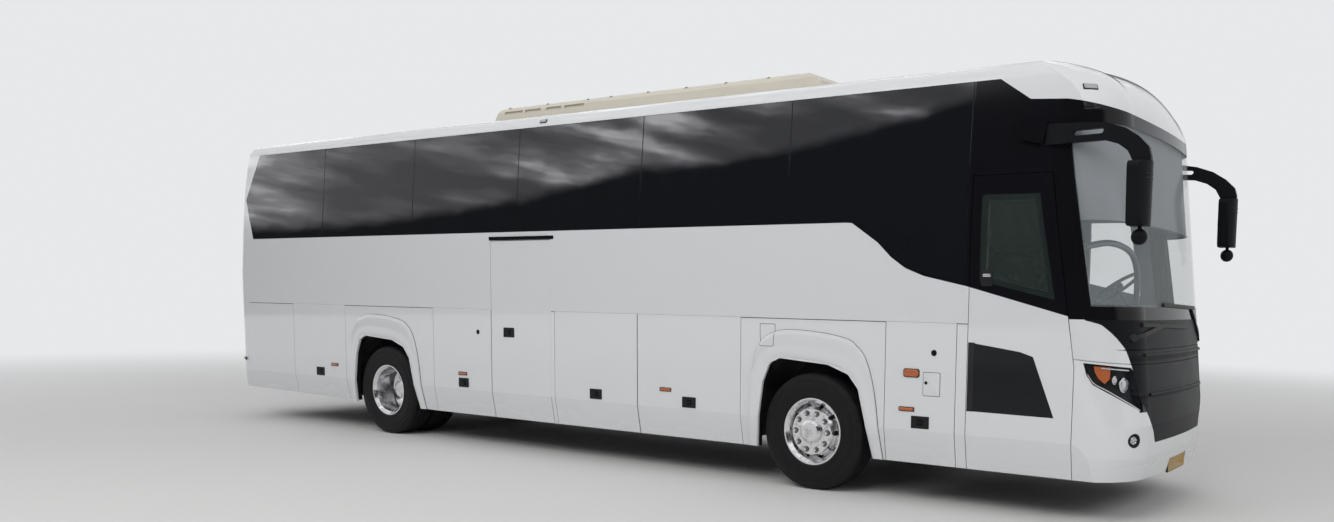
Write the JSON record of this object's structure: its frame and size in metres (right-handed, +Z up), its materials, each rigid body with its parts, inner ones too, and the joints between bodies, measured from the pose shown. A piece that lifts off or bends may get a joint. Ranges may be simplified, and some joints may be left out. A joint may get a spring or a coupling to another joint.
{
  "type": "two-axle touring coach",
  "caption": "High-floor touring coach with steered front wheels, twin rear wheels, side doors and lifting luggage flaps.",
  "frame": {"origin": "on the ground, under the middle of the coach with its mirrors", "axes": "+X to the front, +Y to the driver's side, +Z up"},
  "size_m": [12.16, 3.1724, 3.7999],
  "materials": {
    "white_paint": "gloss white coach paint",
    "privacy_glass": "dark bonded glass",
    "clear_glass": "clear glass with a black border",
    "black_panel": "black moulded panels",
    "lamp_lens": "clear and coloured lenses",
    "tyre_rubber": "black tyre rubber",
    "polished_rim": "polished wheel discs",
    "chassis_steel": "dark painted running gear",
    "cream_cover": "cream moulded cover",
    "seat_fabric": "dark woven seat cloth",
    "cabin_plastic": "grained cabin plastic"
  },
  "bodies": {
    "root": {"roof": "white_paint", "side_wall_right": "white_paint", "side_wall_left": "white_paint", "lower_panels": "white_paint", "rear_wall": "white_paint", "front_corners": "white_paint", "grille": "black_panel", "bumper": "white_paint", "lamps": "lamp_lens", "windscreen": "clear_glass", "windscreen_frame": "black_panel", "dark_glass": "privacy_glass", "floor": "cabin_plastic", "chassis": "chassis_steel", "axles": "chassis_steel", "engine": "chassis_steel", "dashboard": "cabin_plastic", "entrance_steps": "cabin_plastic", "seats": "seat_fabric", "roof_unit": "cream_cover", "mirrors": "black_panel", "wipers": "black_panel", "wheel_liners": "chassis_steel"},
    "knuckle_left": {"knuckle_left": "chassis_steel"},
    "wheel_front_left": {"tyre_front_left": "tyre_rubber", "rim_front_left": "polished_rim"},
    "wheel_rear_left": {"tyres_rear_left": "tyre_rubber", "rims_rear_left": "polished_rim"},
    "knuckle_right": {"knuckle_right": "chassis_steel"},
    "wheel_front_right": {"tyre_front_right": "tyre_rubber", "rim_front_right": "polished_rim"},
    "wheel_rear_right": {"tyres_rear_right": "tyre_rubber", "rims_rear_right": "polished_rim"},
    "entrance_arms": {"door_arms": "chassis_steel"},
    "entrance_door": {"entrance_door": "white_paint", "entrance_glass": "clear_glass"},
    "mid_door": {"mid_door": "white_paint"},
    "service_flap_right": {"service_flap_right": "white_paint"},
    "tank_flap_right": {"tank_flap_right": "white_paint"},
    "luggage_flap_right_1": {"luggage_flap_right_1": "white_paint"},
    "luggage_flap_right_2": {"luggage_flap_right_2": "white_paint"},
    "front_flap_right": {"front_flap_right": "white_paint"},
    "service_flap_left": {"service_flap_left": "white_paint"},
    "luggage_flap_left_1": {"luggage_flap_left_1": "white_paint"},
    "luggage_flap_left_2": {"luggage_flap_left_2": "white_paint"},
    "luggage_flap_left_3": {"luggage_flap_left_3": "white_paint"},
    "engine_door": {"engine_door": "white_paint"}
  },
  "joints": [
    {"name": "steer_left", "type": "hinge", "parent": "root", "child": "knuckle_left", "pos_m": [3.12, 0.93, 0.52], "axis": [0, 0, 1], "range_deg": [-45, 45]},
    {"name": "roll_front_left", "type": "hinge", "parent": "knuckle_left", "child": "wheel_front_left", "pos_m": [3.12, 1.098, 0.52], "axis": [0, 1, 0], "continuous": true},
    {"name": "roll_rear_left", "type": "hinge", "parent": "root", "child": "wheel_rear_left", "pos_m": [-2.94, 0.9215, 0.52], "axis": [0, 1, 0], "continuous": true},
    {"name": "steer_right", "type": "hinge", "parent": "root", "child": "knuckle_right", "pos_m": [3.12, -0.93, 0.52], "axis": [0, 0, 1], "range_deg": [-45, 45]},
    {"name": "roll_front_right", "type": "hinge", "parent": "knuckle_right", "child": "wheel_front_right", "pos_m": [3.12, -1.098, 0.52], "axis": [0, 1, 0], "continuous": true},
    {"name": "roll_rear_right", "type": "hinge", "parent": "root", "child": "wheel_rear_right", "pos_m": [-2.94, -0.9215, 0.52], "axis": [0, 1, 0], "continuous": true},
    {"name": "entrance_arm_swing", "type": "hinge", "parent": "root", "child": "entrance_arms", "pos_m": [5.3, -1.13, 1.2], "axis": [0, 0, 1], "range_deg": [0, 120]},
    {"name": "entrance_door_turn", "type": "hinge", "parent": "entrance_arms", "child": "entrance_door", "pos_m": [4.86082, -1.10314, 1.2], "axis": [0, 0, 1], "range_deg": [-120, 0]},
    {"name": "mid_door_swing", "type": "hinge", "parent": "root", "child": "mid_door", "pos_m": [-0.1183, -1.267, 1.2], "axis": [0, 0, 1], "range_deg": [0, 90]},
    {"name": "service_flap_right_lift", "type": "hinge", "parent": "root", "child": "service_flap_right", "pos_m": [-4.22, -1.267, 1.5067], "axis": [-1, 0, 0], "range_deg": [0, 85]},
    {"name": "tank_flap_right_lift", "type": "hinge", "parent": "root", "child": "tank_flap_right", "pos_m": [-1.52, -1.267, 1.5067], "axis": [-1, 0, 0], "range_deg": [0, 85]},
    {"name": "luggage_flap_right_1_lift", "type": "hinge", "parent": "root", "child": "luggage_flap_right_1", "pos_m": [0.515, -1.267, 1.5067], "axis": [-1, 0, 0], "range_deg": [0, 85]},
    {"name": "luggage_flap_right_2_lift", "type": "hinge", "parent": "root", "child": "luggage_flap_right_2", "pos_m": [1.725, -1.267, 1.5067], "axis": [-1, 0, 0], "range_deg": [0, 85]},
    {"name": "front_flap_right_lift", "type": "hinge", "parent": "root", "child": "front_flap_right", "pos_m": [4.2, -1.267, 1.5067], "axis": [-1, 0, 0], "range_deg": [0, 85]},
    {"name": "service_flap_left_lift", "type": "hinge", "parent": "root", "child": "service_flap_left", "pos_m": [-4.22, 1.267, 1.5067], "axis": [1, 0, 0], "range_deg": [0, 85]},
    {"name": "luggage_flap_left_1_lift", "type": "hinge", "parent": "root", "child": "luggage_flap_left_1", "pos_m": [-1.28, 1.267, 1.5067], "axis": [1, 0, 0], "range_deg": [0, 85]},
    {"name": "luggage_flap_left_2_lift", "type": "hinge", "parent": "root", "child": "luggage_flap_left_2", "pos_m": [0.175, 1.267, 1.5067], "axis": [1, 0, 0], "range_deg": [0, 85]},
    {"name": "luggage_flap_left_3_lift", "type": "hinge", "parent": "root", "child": "luggage_flap_left_3", "pos_m": [1.63, 1.267, 1.5067], "axis": [1, 0, 0], "range_deg": [0, 85]},
    {"name": "engine_door_lift", "type": "hinge", "parent": "root", "child": "engine_door", "pos_m": [-6.07, 0, 1.7897], "axis": [0, 1, 0], "range_deg": [0, 80]}
  ],
  "couplings": [
    {"joint": "steer_right", "follows": "steer_left", "ratio": 1},
    {"joint": "entrance_door_turn", "follows": "entrance_arm_swing", "ratio": -1}
  ]
}
